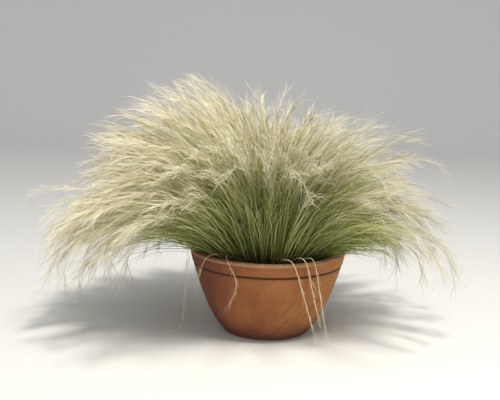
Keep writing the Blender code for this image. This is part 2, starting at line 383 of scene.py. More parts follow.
@dataclass(frozen=True)
class Nodes:
    """Short ways to add shader nodes to one material."""

    material: bpy.types.Material

    @property
    def tree(self) -> bpy.types.NodeTree:
        """The material's node tree."""
        return self.material.node_tree

    @property
    def shader(self) -> bpy.types.Node:
        """The material's Principled shader."""
        return self.tree.nodes["Principled BSDF"]

    def link(self, source: Socket, target: Socket) -> None:
        """Joins two sockets."""
        self.tree.links.new(source, target)

    def add(self, kind: str, **values: object) -> bpy.types.Node:
        """A new node.

        Args:
            kind: The node's type name.
            values: Attributes to set on it.

        Returns:
            The node.
        """
        node = self.tree.nodes.new(kind)
        for name, value in values.items():
            setattr(node, name, value)
        return node

    def ramp(self, factor: Socket, stops: Stops) -> Socket:
        """A colour ramp.

        Args:
            factor: What drives it.
            stops: Its places and colours, in order.

        Returns:
            Its colour.
        """
        node = self.add("ShaderNodeValToRGB")
        elements = node.color_ramp.elements
        for place, _ in stops[2:]:
            elements.new(place)
        for element, (place, colour) in zip(elements, stops):
            element.position = place
            element.color = (*colour, 1.0)
        self.link(factor, node.inputs["Fac"])
        return node.outputs["Color"]

    def mask(self, factor: Socket, low: float, high: float) -> Socket:
        """A value that goes smoothly from 0 at low to 1 at high. High may be under low."""
        node = self.add("ShaderNodeMapRange", interpolation_type="SMOOTHSTEP", clamp=True)
        self.link(factor, node.inputs["Value"])
        node.inputs["From Min"].default_value = low
        node.inputs["From Max"].default_value = high
        return node.outputs["Result"]

    def mix(
        self,
        factor: Socket | float,
        first: Socket | Colour,
        second: Socket | Colour,
        blend: str = "MIX",
    ) -> Socket:
        """Two colours mixed.

        Args:
            factor: How much of the second, a socket or a number.
            first: The first colour.
            second: The second colour.
            blend: How they mix.

        Returns:
            The mixed colour.
        """
        node = self.add("ShaderNodeMix", data_type="RGBA", blend_type=blend)
        for socket, value in ((node.inputs[0], factor), (node.inputs[6], first), (node.inputs[7], second)):
            if isinstance(value, Socket):
                self.link(value, socket)
            elif isinstance(value, tuple):
                socket.default_value = (*value, 1.0)
            else:
                socket.default_value = value
        return node.outputs[2]

    def times(self, first: Socket, second: Socket | float) -> Socket:
        """Two values multiplied."""
        node = self.add("ShaderNodeMath", operation="MULTIPLY")
        self.link(first, node.inputs[0])
        if isinstance(second, Socket):
            self.link(second, node.inputs[1])
        else:
            node.inputs[1].default_value = second
        return node.outputs[0]

    def noise(self, place: Socket, scale: float, detail: float = 4.0) -> Socket:
        """Noise of a given scale, its value from 0 to 1."""
        node = self.add("ShaderNodeTexNoise")
        node.inputs["Scale"].default_value = scale
        node.inputs["Detail"].default_value = detail
        self.link(place, node.inputs["Vector"])
        return node.outputs["Fac"]

    def stretched(self, place: Socket, scale: tuple[float, float, float]) -> Socket:
        """A place scaled by a different amount along each axis."""
        node = self.add("ShaderNodeMapping")
        node.inputs["Scale"].default_value = scale
        self.link(place, node.inputs["Vector"])
        return node.outputs["Vector"]

    def leaning(self, place: Socket, degrees: float) -> Socket:
        """A place turned about the depth axis."""
        node = self.add("ShaderNodeMapping")
        node.inputs["Rotation"].default_value = (0.0, math.radians(degrees), 0.0)
        self.link(place, node.inputs["Vector"])
        return node.outputs["Vector"]

    def laid(self, colour: Socket, over: Colour, mask: Socket, strength: float) -> Socket:
        """A colour laid over another.

        Args:
            colour: The colour underneath.
            over: The colour laid over it.
            mask: Where, from 0 to 1.
            strength: How thickly, from 0 to 1.

        Returns:
            The mixed colour.
        """
        return self.mix(self.times(mask, strength), colour, over)

    def bump(self, height: Socket, strength: float, distance: float) -> None:
        """Lets a height roughen the shader's surface, on top of any bump it has."""
        node = self.add("ShaderNodeBump")
        node.inputs["Strength"].default_value = strength
        node.inputs["Distance"].default_value = distance
        self.link(height, node.inputs["Height"])
        normal = self.shader.inputs["Normal"]
        if normal.is_linked:
            self.link(normal.links[0].from_socket, node.inputs["Normal"])
        self.link(node.outputs["Normal"], normal)


def new_nodes(name: str) -> Nodes:
    """A new material with its Principled shader, ready for more nodes."""
    material = bpy.data.materials.new(name)
    material.use_nodes = True
    return Nodes(material)


@dataclass(frozen=True)
class StrandFinish:
    """A finish for strands: colours along their length, in a few variants that strands share out.

    Attributes:
        name: The material's name.
        variants: (share of the strands up to which it holds, its colour stops along the strand).
        roughness: How rough the surface is.
        sheen: How strongly fine fibres catch light from the side.
        sides: How bright it is on the left, as painted light, and on the right, as painted shade, times the
            usual.
    """

    name: str
    variants: tuple[tuple[float, Stops], ...]
    roughness: float = 0.6
    sheen: float = 0.0
    blend_width: float = 0.10
    flicker: float = 0.22
    flicker_scale: float = 60.0
    sides: tuple[float, float] = (1.0, 1.0)
    side_reach: float = 0.42

    def build(self) -> bpy.types.Material:
        """Makes the material."""
        nodes = new_nodes(self.name)
        place = nodes.add("ShaderNodeUVMap", uv_map=STRAND_MAP).outputs["UV"]
        split = nodes.add("ShaderNodeSeparateXYZ")
        nodes.link(place, split.inputs[0])
        along, shade = split.outputs[0], split.outputs[1]
        colour = nodes.ramp(along, self.variants[0][1])
        for (edge, _), (_, stops) in zip(self.variants, self.variants[1:]):
            part = nodes.mask(shade, edge - self.blend_width / 2, edge + self.blend_width / 2)
            colour = nodes.mix(part, colour, nodes.ramp(along, stops))
        flicker = nodes.noise(nodes.stretched(place, (6.0, self.flicker_scale, 1.0)), 1.0, 2.0)
        level = nodes.ramp(flicker, [(0.25, (1 - self.flicker,) * 3), (0.75, (1 + self.flicker,) * 3)])
        colour = nodes.mix(1.0, colour, level, "MULTIPLY")
        # Painted light on the left of the clump and painted shade on the right, by each point's place across
        # it.
        across = nodes.add("ShaderNodeSeparateXYZ")
        nodes.link(nodes.add("ShaderNodeTexCoord").outputs["Object"], across.inputs[0])
        side = nodes.mask(across.outputs["X"], -self.side_reach, self.side_reach)
        level = nodes.ramp(side, [(share, (pale,) * 3) for share, pale in zip((0.0, 1.0), self.sides)])
        colour = nodes.mix(1.0, colour, level, "MULTIPLY")
        nodes.link(colour, nodes.shader.inputs["Base Color"])
        nodes.shader.inputs["Roughness"].default_value = self.roughness
        nodes.shader.inputs["Specular IOR Level"].default_value = 0.35
        nodes.shader.inputs["Sheen Weight"].default_value = self.sheen
        return nodes.material


LEAF_FINISH = StrandFinish(
    name="leaf_blades",
    variants=(
        (0.36, shades((0, 46, 48, 24), (0.18, 56, 68, 30), (0.6, 78, 96, 40), (1, 122, 134, 68))),
        (0.70, shades((0, 72, 68, 38), (0.2, 98, 106, 50), (0.6, 140, 152, 74), (1, 186, 186, 118))),
        (1.00, shades((0, 106, 98, 58), (0.25, 160, 160, 90), (0.6, 202, 204, 130), (1, 236, 230, 176))),
    ),
    roughness=0.5,
)


HEAD_PLACES = (0, 0.28, 0.5, 0.72, 1)


def along_head(*colours: tuple[int, int, int]) -> Stops:
    """Colour stops for a flowering stem, from green at its foot to straw along its head."""
    return shades(*((place, *colour) for place, colour in zip(HEAD_PLACES, colours)))


PLUME_FINISH = StrandFinish(
    name="plume_strands",
    variants=(
        (0.34, along_head((70, 84, 30), (92, 104, 42), (128, 124, 66), (172, 154, 112), (196, 178, 142))),
        (0.62, along_head((100, 108, 46), (144, 146, 72), (204, 196, 142), (240, 231, 194), (251, 246, 226))),
        (1.00, along_head((122, 120, 62), (176, 170, 100), (232, 225, 182), (255, 250, 226), (255, 253, 242))),
    ),
    roughness=0.45,
    sheen=0.2,
    flicker=0.12,
    # Painted light on the left, painted shade on the right.
    sides=(1.10, 0.82),
)

THATCH_FINISH = StrandFinish(
    name="crown_thatch",
    variants=(
        (0.5, shades((0, 48, 38, 26), (0.5, 92, 76, 48), (1, 124, 106, 66))),
        (1.0, shades((0, 58, 48, 30), (0.5, 120, 102, 64), (1, 160, 140, 92))),
    ),
    roughness=0.8,
)

STEM_FINISH = StrandFinish(
    name="straw_stems",
    variants=(
        (0.5, shades((0, 170, 146, 88), (0.4, 236, 214, 158), (1, 250, 240, 206))),
        (1.0, shades((0, 160, 140, 84), (0.4, 226, 200, 142), (1, 244, 230, 190))),
    ),
    roughness=0.45,
)


@dataclass(frozen=True)
class TerracottaFinish:
    """Unglazed fired clay that has stood outdoors, with painted light on its right side, painted shade on its
    left and a painted shadow in the groove under the band.

    Attributes:
        height: The bowl's height.
        groove: The height of the groove's middle.
    """

    height: float
    groove: float
    clay: Colour = srgb(147, 89, 51)
    deep: Colour = srgb(126, 70, 44)
    pale: Colour = srgb(161, 107, 62)
    # Darker clay: painted shade on the left side, also laid in the bottom band, the scratches and the scrapes.
    dark_clay_and_shade: Colour = srgb(94, 52, 40)
    # Painted light for the right side.
    painted_light_side: Colour = srgb(186, 130, 74)
    lime: Colour = srgb(172, 136, 104)
    grime: Colour = srgb(74, 50, 40)
    # Painted shadow for the groove under the band.
    painted_groove_shadow: Colour = srgb(70, 36, 26)
    lip_fade: tuple[float, float] = (0.0085, 0.0058)
    splash_height: float = 0.075

    def build(self) -> bpy.types.Material:
        """Makes the material."""
        nodes = new_nodes("terracotta_weathered")
        place = nodes.add("ShaderNodeTexCoord").outputs["Object"]
        split = nodes.add("ShaderNodeSeparateXYZ")
        nodes.link(place, split.inputs[0])
        across, up = split.outputs["X"], split.outputs["Z"]
        cloud = nodes.noise(place, 8.0, 5.0)
        colour = nodes.ramp(cloud, [(0.32, self.deep), (0.50, self.clay), (0.70, self.pale)])
        # Painted light on the right side and painted shade on the left side.
        colour = nodes.laid(colour, self.painted_light_side, nodes.mask(across, 0.02, 0.20), 0.55)
        colour = nodes.laid(colour, self.dark_clay_and_shade, nodes.mask(across, -0.04, -0.19), 0.78)
        # Darker towards the bottom.
        low = nodes.mask(up, self.splash_height, 0.0)
        colour = nodes.laid(colour, self.dark_clay_and_shade, low, 0.62)
        streak = nodes.noise(nodes.stretched(place, (42.0, 42.0, 3.5)), 1.0, 3.0)
        colour = nodes.laid(colour, self.deep, nodes.mask(streak, 0.54, 0.74), 0.35)
        scratch = nodes.noise(nodes.stretched(place, (150.0, 150.0, 7.0)), 1.0, 2.0)
        colour = nodes.laid(colour, self.dark_clay_and_shade, nodes.mask(scratch, 0.60, 0.72), 0.34)
        scrape = nodes.noise(nodes.stretched(nodes.leaning(place, -36.0), (170.0, 20.0, 9.0)), 1.0, 2.0)
        where = nodes.times(nodes.mask(across, 0.01, 0.05), nodes.mask(up, 0.16, 0.12))
        scraped = nodes.times(nodes.mask(scrape, 0.56, 0.66), where)
        colour = nodes.laid(colour, self.dark_clay_and_shade, scraped, 0.55)
        bloom = nodes.noise(nodes.stretched(place, (24.0, 24.0, 8.0)), 1.0, 6.0)
        colour = nodes.laid(colour, self.lime, nodes.mask(bloom, 0.60, 0.80), 0.22)
        splash = nodes.times(nodes.mask(nodes.noise(place, 34.0, 6.0), 0.40, 0.72), low)
        colour = nodes.laid(colour, self.grime, splash, 0.60)
        lip = nodes.mask(up, self.height - self.lip_fade[0], self.height - self.lip_fade[1])
        worn = nodes.ramp(nodes.noise(place, 60.0, 4.0), [(0.3, (0.50,) * 3), (0.7, (0.90,) * 3)])
        colour = nodes.mix(nodes.times(lip, worn), colour, self.lime)
        # Painted shadow in the groove under the band.
        under = nodes.times(
            nodes.mask(up, self.groove - 0.0056, self.groove - 0.0030),
            nodes.mask(up, self.groove + 0.0036, self.groove + 0.0028),
        )
        colour = nodes.laid(colour, self.painted_groove_shadow, under, 0.94)
        speck = nodes.mask(nodes.noise(place, 420.0, 2.0), 0.66, 0.74)
        colour = nodes.laid(colour, self.lime, speck, 0.35)
        chip = nodes.mask(nodes.noise(place, 90.0, 0.0), 0.84, 0.87)
        colour = nodes.laid(colour, self.lime, chip, 0.70)
        pit = nodes.mask(nodes.noise(place, 300.0, 2.0), 0.36, 0.28)
        colour = nodes.laid(colour, self.grime, pit, 0.5)
        nodes.link(colour, nodes.shader.inputs["Base Color"])
        rough = nodes.ramp(bloom, [(0.3, (0.72,) * 3), (0.8, (0.95,) * 3)])
        nodes.link(rough, nodes.shader.inputs["Roughness"])
        nodes.shader.inputs["Specular IOR Level"].default_value = 0.3
        wheel = nodes.noise(nodes.stretched(place, (3.0, 3.0, 260.0)), 1.0, 2.0)
        nodes.bump(wheel, 0.25, 0.0006)
        nodes.bump(nodes.noise(place, 260.0, 5.0), 0.35, 0.0008)
        return nodes.material


@dataclass(frozen=True)
class SoilFinish:
    """Dark crumbly potting soil with paler fibres and grit."""

    dark: Colour = srgb(34, 26, 19)
    mid: Colour = srgb(58, 45, 32)
    fibre: Colour = srgb(104, 84, 58)

    def build(self) -> bpy.types.Material:
        """Makes the material."""
        nodes = new_nodes("potting_soil_crumbs")
        place = nodes.add("ShaderNodeTexCoord").outputs["Object"]
        crumb = nodes.noise(place, 120.0, 6.0)
        colour = nodes.ramp(crumb, [(0.35, self.dark), (0.6, self.mid), (0.78, self.fibre)])
        grit = nodes.mask(nodes.noise(place, 520.0, 2.0), 0.68, 0.76)
        colour = nodes.laid(colour, self.fibre, grit, 0.6)
        nodes.link(colour, nodes.shader.inputs["Base Color"])
        nodes.shader.inputs["Roughness"].default_value = 0.95
        nodes.shader.inputs["Specular IOR Level"].default_value = 0.15
        nodes.bump(nodes.noise(place, 240.0, 6.0), 0.8, 0.003)
        return nodes.material


# ---------------------------------------------------------------------------------------------
# How the grass grows


def towards(turn: np.ndarray, side: float) -> np.ndarray:
    """1 on the side at this turn, falling to 0 a quarter turn away from it. Turns are in degrees."""
    return np.clip(np.cos(np.radians(turn - side)), 0.0, None) ** 2


@dataclass(frozen=True)
class Growth:
    """The law that every shoot follows: it leaves the crown and bends over by its own weight.

    Leans are degrees from upright and turns are degrees about the axis, 270 being the front.

    Attributes:
        centre_height: Height of the centre of the sphere that the crown is a cap of.
        crown_radius: That sphere's radius.
        root_depth: How far under the crown's surface a shoot starts.
        ring_places: Where the frame's three rings leave the crown, as leans of the sphere.
        side_tips: The leans of flowering stems' tips in the three rings, at the two sides.
        front_tips: The same at the front.
        back_tips: The same at the back.
        nod_start: The share of its length after which a shoot's last part droops.
        fine: How many steps of bending there are between two points of a line.
    """

    centre_height: float
    crown_radius: float = 0.170
    root_depth: float = 0.085
    bend_power: float = 1.6
    ring_places: tuple[float, ...] = (13.0, 31.0, 54.0)
    side_tips: tuple[float, ...] = (50.0, 86.0, 156.0)
    front_tips: tuple[float, ...] = (40.0, 52.0, 62.0)
    back_tips: tuple[float, ...] = (46.0, 76.0, 116.0)
    nod_start: float = 0.6
    fine: int = 6
    front_upright: float = 0.45
    back_upright: float = 0.15
    left_reach: float = 0.11
    right_reach: float = -0.11
    front_reach: float = -0.10
    back_reach: float = -0.10

    def lean(self, turn: np.ndarray, place: np.ndarray) -> np.ndarray:
        """A shoot's lean where it leaves the crown, less at the front, which stands up more."""
        front, back = towards(turn, FRONT), towards(turn, BACK)
        return place * (1.0 - self.front_upright * front - self.back_upright * back)

    def tip_lean(self, turn: np.ndarray, place: np.ndarray) -> np.ndarray:
        """A flowering stem's lean at its tip.

        Args:
            turn: The shoots' turns.
            place: Their places on the crown, as leans of the sphere.

        Returns:
            One lean for each.
        """
        side = np.interp(place, self.ring_places, self.side_tips) * np.cos(np.radians(turn)) ** 2
        front = np.interp(place, self.ring_places, self.front_tips) * towards(turn, FRONT)
        back = np.interp(place, self.ring_places, self.back_tips) * towards(turn, BACK)
        return side + front + back

    def reach(self, turn: np.ndarray) -> np.ndarray:
        """How long growth on each side is, as a share of the usual length."""
        sides = self.left_reach * towards(turn, LEFT) + self.right_reach * towards(turn, RIGHT)
        return 1.0 + sides + self.front_reach * towards(turn, FRONT) + self.back_reach * towards(turn, BACK)

    def lines(
        self,
        turn: np.ndarray,
        place: np.ndarray,
        lean: np.ndarray,
        tip: np.ndarray,
        length: np.ndarray,
        sway: np.ndarray,
        nod: np.ndarray,
        points: int,
    ) -> np.ndarray:
        """Points along each shoot, from under the crown to its tip.

        Args:
            turn: Which way each grows.
            place: Where on the crown it grows, as a lean of the sphere.
            lean: Its lean where it leaves the crown.
            tip: Its lean at the tip.
            length: Its length above the crown.
            sway: How far it turns sideways by its tip, in degrees.
            nod: How much more its last part droops, in degrees.
            points: How many points each line has.

        Returns:
            (n, points, 3) places.
        """
        steps = (points - 1) * self.fine
        whole = (length + self.root_depth)[:, None]
        grown = ((np.arange(steps) + 0.5) / steps)[None, :] * whole - self.root_depth
        grown = np.clip(grown / length[:, None], 0.0, 1.0)
        droop = nod[:, None] * np.clip((grown - self.nod_start) / (1.0 - self.nod_start), 0.0, 1.0) ** 2
        tilt = np.radians(lean[:, None] + (tip - lean)[:, None] * grown**self.bend_power + droop)
        heading = np.radians(turn[:, None] + sway[:, None] * grown**1.5)
        flat = np.sin(tilt)
        ahead = np.stack([flat * np.cos(heading), flat * np.sin(heading), np.cos(tilt)], axis=2)
        moved = np.cumsum(ahead * (whole / steps)[:, :, None], axis=1)
        out, up = np.radians(turn), np.radians(place)
        surface = np.stack([np.sin(up) * np.cos(out), np.sin(up) * np.sin(out), np.cos(up)], axis=1)
        start = self.crown_radius * surface - self.root_depth * ahead[:, 0] + (0.0, 0.0, self.centre_height)
        line = np.concatenate([start[:, None], start[:, None] + moved], axis=1)
        return line[:, :: self.fine]


@dataclass(frozen=True)
class Room:
    """The space that the plant may fill: a box, less the bowl's lip, which growth passes over.

    Attributes:
        low: The box's lowest corner.
        high: The box's highest corner.
        lip_height: The height of the top of the lip.
        lip_middle: The radius of the middle of the lip.
        lip_reach: How far from the lip's middle growth is held up.
        lift: How far above the lip's top it is held there.
        lift_fall: How much less that is at the end of the lip's reach.
    """

    low: np.ndarray
    high: np.ndarray
    lip_height: float
    lip_middle: float
    lip_reach: float = 0.022
    lift: float = 0.003
    lift_fall: float = 0.004

    def holds(self, lines: np.ndarray) -> np.ndarray:
        """Which lines lie wholly inside the box."""
        inside = (lines >= self.low).all(2) & (lines <= self.high).all(2)
        return inside.all(1)

    def over_lip(self, lines: np.ndarray) -> np.ndarray:
        """The same lines, lifted where they would pass through the lip."""
        away = np.abs(np.hypot(lines[:, :, 0], lines[:, :, 1]) - self.lip_middle) / self.lip_reach
        least = np.where(away < 1.0, self.lip_height + self.lift - self.lift_fall * away**2, -1.0)
        lifted = lines.copy()
        lifted[:, :, 2] = np.maximum(lines[:, :, 2], least)
        return lifted


def taper(share: np.ndarray, stops: Outline) -> np.ndarray:
    """Radii at shares of a length, straight between stops of (share, radius)."""
    places, radii = zip(*stops)
    return np.interp(share, places, radii)


@dataclass
class LeafTufts:
    """The thread-like green leaves, in tufts round the crown.

    Attributes:
        growth: The law of growth.
        room: The space they may fill.
        count: How many leaves there are in all.
        most_lean: The greatest lean at which they leave the crown.
        lengths: Their usual lengths in the three rings.
        length_spread: The shortest, most common and longest, as shares of the usual.
        lean_scatter: How far their leans scatter, in degrees.
        bend: How much of a flowering stem's bend a leaf has.
        bend_scatter: How far that scatters, as a share.
        sway: How far they usually turn sideways by their tips, in degrees.
        nod: How far their last parts usually droop, in degrees.
        outline: (share of the length, radius) stops.
        thickness: The thinnest and thickest, as shares of that radius.
    """

    growth: Growth
    room: Room
    count: int = 6400
    points: int = 8
    most_lean: float = 66.0
    lengths: tuple[float, ...] = (0.345, 0.390, 0.360)
    length_spread: tuple[float, float, float] = (0.45, 0.9, 1.25)
    lean_scatter: float = 5.0
    bend: float = 0.60
    bend_scatter: float = 0.32
    sway: float = 12.0
    nod: float = 20.0
    outline: Outline = ((0.0, 0.00060), (0.3, 0.00068), (0.8, 0.00048), (1.0, 0.0001))
    thickness: tuple[float, float] = (0.75, 1.2)
    seed: int = 11

    def grow(self) -> tuple[Strands, np.ndarray, np.ndarray]:
        """Grows every leaf.

        Returns:
            The strands, and the turn and the lean that each belongs to.
        """
        rng = np.random.default_rng(self.seed)
        turn = rng.uniform(0.0, 360.0, self.count)
        spread = 1.0 - math.cos(math.radians(self.most_lean))
        place = np.degrees(np.arccos(1.0 - spread * rng.uniform(0.0, 1.0, self.count)))
        usual = np.interp(place, self.growth.ring_places, self.lengths) * self.growth.reach(turn)
        length = usual * rng.triangular(*self.length_spread, self.count)
        lean = self.growth.lean(turn, place) + rng.normal(0.0, self.lean_scatter, self.count)
        bend = self.bend * rng.normal(1.0, self.bend_scatter, self.count)
        tip = lean + bend * (self.growth.tip_lean(turn, place) - lean)
        sway = self.sway * np.clip(rng.standard_t(3, self.count), -4.0, 4.0)
        nod = np.abs(rng.normal(0.0, self.nod, self.count))
        lines = self.room.over_lip(self.growth.lines(turn, place, lean, tip, length, sway, nod, self.points))
        share = np.linspace(0.0, 1.0, self.points)
        radii = taper(share, self.outline)[None, :] * rng.uniform(*self.thickness, self.count)[:, None]
        along = np.broadcast_to(share, radii.shape)
        strands = Strands(lines, radii, along, rng.uniform(0.02, 0.98, self.count))
        kept = self.room.holds(lines)
        return strands.pick(kept), turn[kept], place[kept]

    def build(self, finish: bpy.types.Material) -> None:
        """Builds one piece for each leaf tuft of the frame."""
        strands, turn, place = self.grow()
        build_sheaves(Sheaf.LEAF, turn, place, lambda mine: [strands.pick(mine)], finish)


@dataclass(frozen=True)
class Hairs:
    """One kind of hair on the flowering heads.

    Attributes:
        count: How many each head has.
        points: How many points each hair's line has.
        length: The shortest and longest, in metres.
        radius: The usual radius.
        spread: How far they stand away from the stem, as a slope.
        droop: How much they bend down at each step, least and most.
        curl: How much they bend aside at each step.
        shade: The least and greatest colour variant.
    """

    count: int
    points: int
    length: tuple[float, float]
    radius: float
    spread: float
    droop: tuple[float, float]
    curl: float
    shade: tuple[float, float]


FUZZ = Hairs(28, 3, (0.040, 0.080), 0.00020, 0.22, (0.02, 0.36), 0.16, (0.02, 0.70))
AWNS = Hairs(27, 4, (0.055, 0.110), 0.00037, 0.16, (0.00, 0.24), 0.22, (0.02, 0.98))


@dataclass
class Plumes:
    """The flowering stems and their feathery heads, in bundles round the crown.

    Attributes:
        growth: The law of growth.
        room: The space they may fill.
        stems: How many stems there are in all.
        front_thinning: How much sparser the stems are at the front, in the crown's middle and at its edge.
        front_edge: The leans on the crown between which that thinning grows.
        right_thinning: How much sparser they are on the right.
        parting: How much sparser they are in the clump's middle, where its two halves lean apart.
        parting_edge: The lean on the crown out to which the parting runs.
        strays: How many pale stems flop out at the front, of all the stems.
        stray_shade: The colour variant of those stems.
        lengths: The stems' usual lengths at the leans on the crown in length_places.
        length_spread: The shortest, most common and longest, as shares of the usual.
        lean_scatter: How far their leans scatter, in degrees.
        bend_scatter: How far their bends scatter, as a share.
        sway: How far they usually turn sideways by their tips, in degrees.
        nod: How far their last parts usually droop, in degrees.
        head_starts: Where heads begin along the stems of the three rings.
        head_end: Where they end.
        stem_colours: The share of the finish's colours that a stem runs through.
        hairs: The kinds of hair on each head.
    """

    growth: Growth
    room: Room
    stems: int = 1000
    stem_points: int = 12
    most_lean: float = 63.0
    front_thinning: tuple[float, float] = (0.06, 0.82)
    front_edge: tuple[float, float] = (20.0, 48.0)
    right_thinning: float = 0.58
    parting: float = 0.55
    parting_edge: float = 30.0
    strays: int = 12
    stray_turns: tuple[float, float] = (190.0, 350.0)
    stray_places: tuple[float, float] = (26.0, 56.0)
    stray_tips: tuple[float, float] = (80.0, 128.0)
    stray_lengths: tuple[float, float] = (0.36, 0.54)
    stray_thickness: float = 1.4
    stray_shade: float = 0.60
    length_places: tuple[float, ...] = (13.0, 31.0, 43.0, 54.0)
    lengths: tuple[float, ...] = (0.450, 0.475, 0.460, 0.560)
    length_spread: tuple[float, float, float] = (0.60, 0.97, 1.06)
    lean_scatter: float = 4.5
    bend_scatter: float = 0.15
    sway: float = 9.0
    nod: float = 18.0
    stem_outline: Outline = ((0.0, 0.0006), (0.5, 0.0005), (1.0, 0.0003))
    head_starts: tuple[float, ...] = (0.38, 0.46, 0.52)
    head_end: float = 0.95
    stem_colours: float = 0.62
    hairs: tuple[Hairs, ...] = (FUZZ, AWNS)
    seed: int = 23

    def grow_stems(self, rng: np.random.Generator) -> tuple[Strands, np.ndarray, np.ndarray]:
        """Grows every stem.

        Args:
            rng: The source of the plant's irregularities.

        Returns:
            The strands, and the turn and the lean that each belongs to.
        """
        turn = rng.uniform(0.0, 360.0, self.stems * 3)
        spread = 1.0 - math.cos(math.radians(self.most_lean))
        place = np.degrees(np.arccos(1.0 - spread * rng.uniform(0.0, 1.0, len(turn))))
        front = np.interp(place, self.front_edge, self.front_thinning) * np.sqrt(towards(turn, FRONT))
        between = self.parting * (towards(turn, BACK) + towards(turn, FRONT)) * (place < self.parting_edge)
        right = self.right_thinning * towards(turn, RIGHT)
        kept = rng.uniform(0.0, 1.0, len(turn)) > front + between + right
        turn, place = turn[kept][: self.stems], place[kept][: self.stems]
        count = len(turn)
        stray = np.arange(count) < self.strays
        turn[stray] = rng.uniform(*self.stray_turns, self.strays)
        place[stray] = rng.uniform(*self.stray_places, self.strays)
        usual = np.interp(place, self.length_places, self.lengths) * self.growth.reach(turn)
        length = usual * rng.triangular(*self.length_spread, count)
        length[stray] = rng.uniform(*self.stray_lengths, self.strays)
        lean = self.growth.lean(turn, place) + rng.normal(0.0, self.lean_scatter, count)
        bend = 1.0 + self.bend_scatter * np.clip(rng.standard_t(3, count), -3.0, 3.0)
        tip = lean + bend * (self.growth.tip_lean(turn, place) - lean)
        tip[stray] = rng.uniform(*self.stray_tips, self.strays)
        sway = self.sway * np.clip(rng.standard_t(3, count), -5.0, 5.0)
        nod = np.abs(rng.normal(0.0, self.nod, count))
        grown = self.growth.lines(turn, place, lean, tip, length, sway, nod, self.stem_points)
        lines = self.room.over_lip(grown)
        share = np.linspace(0.0, 1.0, self.stem_points)
        radii = taper(share, self.stem_outline)[None, :] * rng.uniform(0.8, 1.2, count)[:, None]
        radii[stray] *= self.stray_thickness
        along = np.broadcast_to(self.stem_colours * share, radii.shape)
        shade = np.where(stray, self.stray_shade, rng.uniform(0.04, 0.96, count))
        held = self.room.holds(lines)
        return Strands(lines, radii, along, shade).pick(held), turn[held], place[held]

    def grow_hairs(
        self, rng: np.random.Generator, kind: Hairs, stems: Strands, place: np.ndarray
    ) -> tuple[Strands, np.ndarray]:
        """Grows one kind of hair on every head.

        Args:
            rng: The source of the plant's irregularities.
            kind: The kind of hair.
            stems: The stems the heads are on.
            place: The stems' places on the crown.

        Returns:
            The hairs, and the stem that each sits on.
        """
        host = np.repeat(np.arange(len(stems)), kind.count)
        count = len(host)
        start = np.interp(place, self.growth.ring_places, self.head_starts)[host]
        share = start + (self.head_end - start) * rng.beta(1.4, 1.1, count)
        at = share * (self.stem_points - 1)
        low = np.minimum(at.astype(int), self.stem_points - 2)
        part = (at - low)[:, None]
        near, far = stems.lines[host, low], stems.lines[host, low + 1]
        ahead = far - near
        ahead /= np.linalg.norm(ahead, axis=1, keepdims=True)
        out = rng.normal(0.0, 1.0, (count, 3))
        out -= (out * ahead).sum(1, keepdims=True) * ahead
        out /= np.linalg.norm(out, axis=1, keepdims=True)
        ahead = ahead + out * np.abs(rng.normal(0.0, kind.spread, count))[:, None]
        steps = kind.points - 1
        stride = (rng.uniform(*kind.length, count) / steps)[:, None]
        droop = rng.uniform(*kind.droop, (count, 1)) * (0.0, 0.0, 1.0)
        line = [near + (far - near) * part]
        for _ in range(steps):
            ahead = ahead / np.linalg.norm(ahead, axis=1, keepdims=True)
            line.append(line[-1] + ahead * stride)
            ahead = ahead + kind.curl * rng.normal(0.0, 1.0, (count, 3)) - droop
        lines = np.stack(line, axis=1)
        radii = np.full((count, kind.points), kind.radius) * rng.uniform(0.7, 1.3, count)[:, None]
        along = self.stem_colours * share[:, None] + np.linspace(0.02, 0.40, kind.points)[None, :]
        mixed = 0.45 * stems.shade[host] + 0.55 * rng.uniform(0.0, 1.0, count)
        shade = kind.shade[0] + (kind.shade[1] - kind.shade[0]) * mixed
        held = self.room.holds(lines)
        return Strands(lines, radii, along, shade).pick(held), host[held]

    def build(self, finish: bpy.types.Material) -> None:
        """Builds one piece for each plume of the frame."""
        rng = np.random.default_rng(self.seed)
        stems, turn, place = self.grow_stems(rng)
        heads = [self.grow_hairs(rng, kind, stems, place) for kind in self.hairs]

        def parts(mine: np.ndarray) -> list[Strands]:
            """The stems in a mask, with the hairs on their heads."""
            return [stems.pick(mine), *(hairs.pick(mine[host]) for hairs, host in heads)]

        build_sheaves(Sheaf.PLUME, turn, place, parts, finish)


def polar_sheet(radii: np.ndarray, heights: np.ndarray, steps: int) -> tuple[np.ndarray, np.ndarray]:
    """A closed surface of rings from a pole on the axis to a pole on the axis.

    Args:
        radii: (rings,) or (rings, steps) radius of each ring. The first and last rings are poles.
        heights: (rings,) or (rings, steps) heights.
        steps: How many points each ring has.

    Returns:
        Vertices (v, 3) and triangles (t, 3), facing out where the rings run down the outer side.
    """
    rings = len(radii)
    radii = np.broadcast_to(radii[:, None] if radii.ndim == 1 else radii, (rings, steps))
    heights = np.broadcast_to(heights[:, None] if heights.ndim == 1 else heights, (rings, steps))
    turns = FULL_TURN * np.arange(steps) / steps
    body = np.stack([radii * np.cos(turns), radii * np.sin(turns), heights], axis=2)[1:-1].reshape(-1, 3)
    first = np.array([[0.0, 0.0, heights[0].mean()]])
    last = np.array([[0.0, 0.0, heights[-1].mean()]])
    vertices = np.concatenate([first, body, last])
    here = np.arange(steps)
    after = (here + 1) % steps
    faces = [np.stack([np.zeros(steps, int), 1 + here, 1 + after], axis=1)]
    for ring in range(rings - 3):
        low = 1 + ring * steps
        high = low + steps
        faces.append(np.stack([low + here, high + here, high + after], axis=1))
        faces.append(np.stack([low + here, high + after, low + after], axis=1))
    end = len(vertices) - 1
    top = end - steps
    faces.append(np.stack([np.full(steps, end), top + after, top + here], axis=1))
    return vertices, np.concatenate(faces)


RIPPLE_SIZES = (60.0, 420.0)


